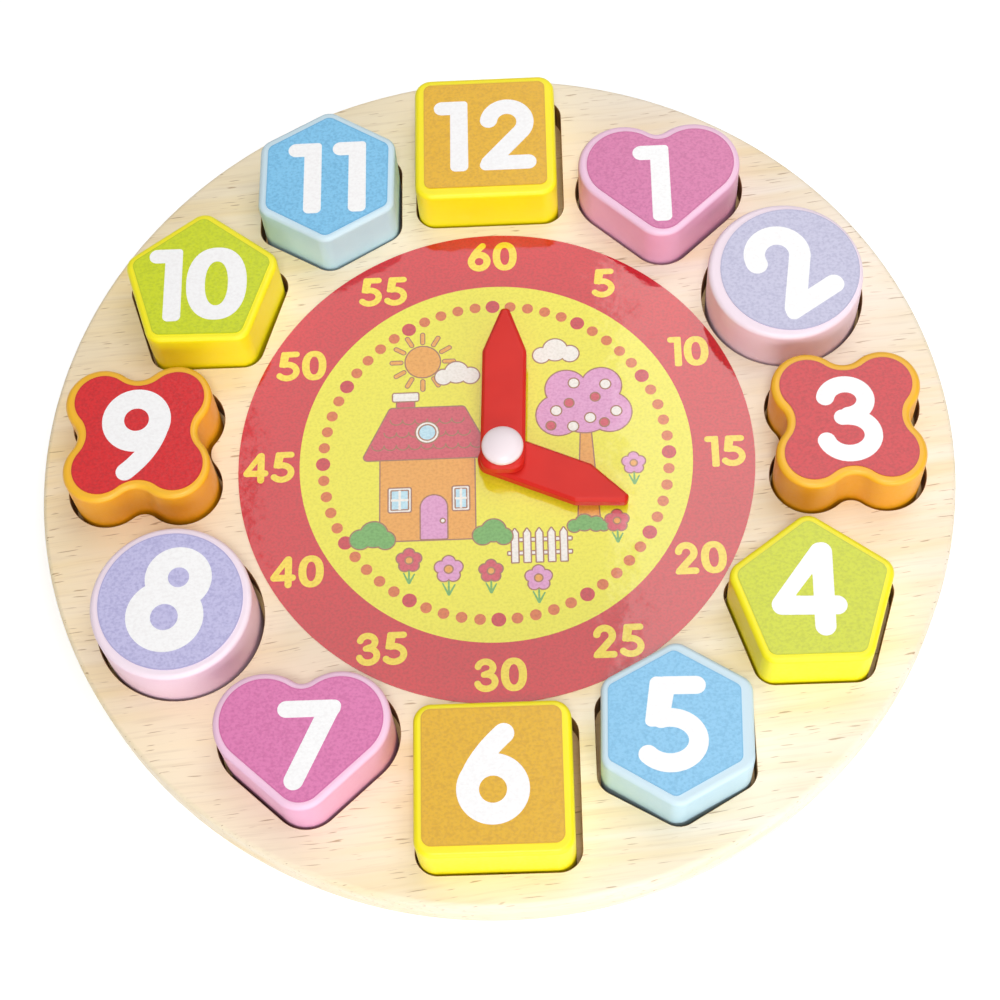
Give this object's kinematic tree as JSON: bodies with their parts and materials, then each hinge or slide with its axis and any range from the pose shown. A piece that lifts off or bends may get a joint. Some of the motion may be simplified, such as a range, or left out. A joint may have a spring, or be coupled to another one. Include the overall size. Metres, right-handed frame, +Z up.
{
  "type": "wooden teaching clock",
  "caption": "Round wooden teaching clock: shaped, lift-out number blocks stand in matching pockets round a printed dial with two turning hands.",
  "frame": {"origin": "centre of the round board's underside, on the surface it lies on", "axes": "+Z up through the board's faces, +Y towards twelve o'clock, +X towards three o'clock"},
  "size_m": [0.22, 0.22, 0.0263],
  "materials": {
    "base_wood": "sanded, clear matt lacquer",
    "face_wood": "sanded beech, clear satin lacquer",
    "dial_film": "printed film, gloss",
    "knob_plastic": "moulded, gloss",
    "socket_plastic": "moulded, matt",
    "hand_plastic": "moulded, semi-gloss",
    "paint_square": "painted wood, satin",
    "film_square": "printed film, fine texture",
    "paint_heart": "painted wood, satin",
    "film_heart": "printed film, fine texture",
    "paint_circle": "painted wood, satin",
    "film_circle": "printed film, fine texture",
    "paint_clover": "painted wood, satin",
    "film_clover": "printed film, fine texture",
    "paint_pentagon": "painted wood, satin",
    "film_pentagon": "printed film, fine texture",
    "paint_hexagon": "painted wood, satin",
    "film_hexagon": "printed film, fine texture"
  },
  "bodies": {
    "board": {"base_board": "base_wood", "face_board": "face_wood", "dial_sheet": "dial_film", "hub_socket": "socket_plastic", "hub_knob": "knob_plastic"},
    "number_01": {"block_01_heart": "paint_heart", "label_01": "film_heart"},
    "number_02": {"block_02_circle": "paint_circle", "label_02": "film_circle"},
    "number_03": {"block_03_clover": "paint_clover", "label_03": "film_clover"},
    "number_04": {"block_04_pentagon": "paint_pentagon", "label_04": "film_pentagon"},
    "number_05": {"block_05_hexagon": "paint_hexagon", "label_05": "film_hexagon"},
    "number_06": {"block_06_square": "paint_square", "label_06": "film_square"},
    "number_07": {"block_07_heart": "paint_heart", "label_07": "film_heart"},
    "number_08": {"block_08_circle": "paint_circle", "label_08": "film_circle"},
    "number_09": {"block_09_clover": "paint_clover", "label_09": "film_clover"},
    "number_10": {"block_10_pentagon": "paint_pentagon", "label_10": "film_pentagon"},
    "number_11": {"block_11_hexagon": "paint_hexagon", "label_11": "film_hexagon"},
    "number_12": {"block_12_square": "paint_square", "label_12": "film_square"},
    "hour_hand": {"hour_hand": "hand_plastic"},
    "minute_hand": {"minute_hand": "hand_plastic"}
  },
  "joints": [
    {"name": "lift_01", "type": "slide", "parent": "board", "child": "number_01", "axis": [0, 0, 1], "range_m": [0, 0.03]},
    {"name": "lift_02", "type": "slide", "parent": "board", "child": "number_02", "axis": [0, 0, 1], "range_m": [0, 0.03]},
    {"name": "lift_03", "type": "slide", "parent": "board", "child": "number_03", "axis": [0, 0, 1], "range_m": [0, 0.03]},
    {"name": "lift_04", "type": "slide", "parent": "board", "child": "number_04", "axis": [0, 0, 1], "range_m": [0, 0.03]},
    {"name": "lift_05", "type": "slide", "parent": "board", "child": "number_05", "axis": [0, 0, 1], "range_m": [0, 0.03]},
    {"name": "lift_06", "type": "slide", "parent": "board", "child": "number_06", "axis": [0, 0, 1], "range_m": [0, 0.03]},
    {"name": "lift_07", "type": "slide", "parent": "board", "child": "number_07", "axis": [0, 0, 1], "range_m": [0, 0.03]},
    {"name": "lift_08", "type": "slide", "parent": "board", "child": "number_08", "axis": [0, 0, 1], "range_m": [0, 0.03]},
    {"name": "lift_09", "type": "slide", "parent": "board", "child": "number_09", "axis": [0, 0, 1], "range_m": [0, 0.03]},
    {"name": "lift_10", "type": "slide", "parent": "board", "child": "number_10", "axis": [0, 0, 1], "range_m": [0, 0.03]},
    {"name": "lift_11", "type": "slide", "parent": "board", "child": "number_11", "axis": [0, 0, 1], "range_m": [0, 0.03]},
    {"name": "lift_12", "type": "slide", "parent": "board", "child": "number_12", "axis": [0, 0, 1], "range_m": [0, 0.03]},
    {"name": "hour_turn", "type": "hinge", "parent": "board", "child": "hour_hand", "pos_m": [0.002, -0.0007, 0.016], "axis": [0, 0, 1], "continuous": true},
    {"name": "minute_turn", "type": "hinge", "parent": "board", "child": "minute_hand", "pos_m": [0.002, -0.0007, 0.016], "axis": [0, 0, 1], "continuous": true}
  ]
}
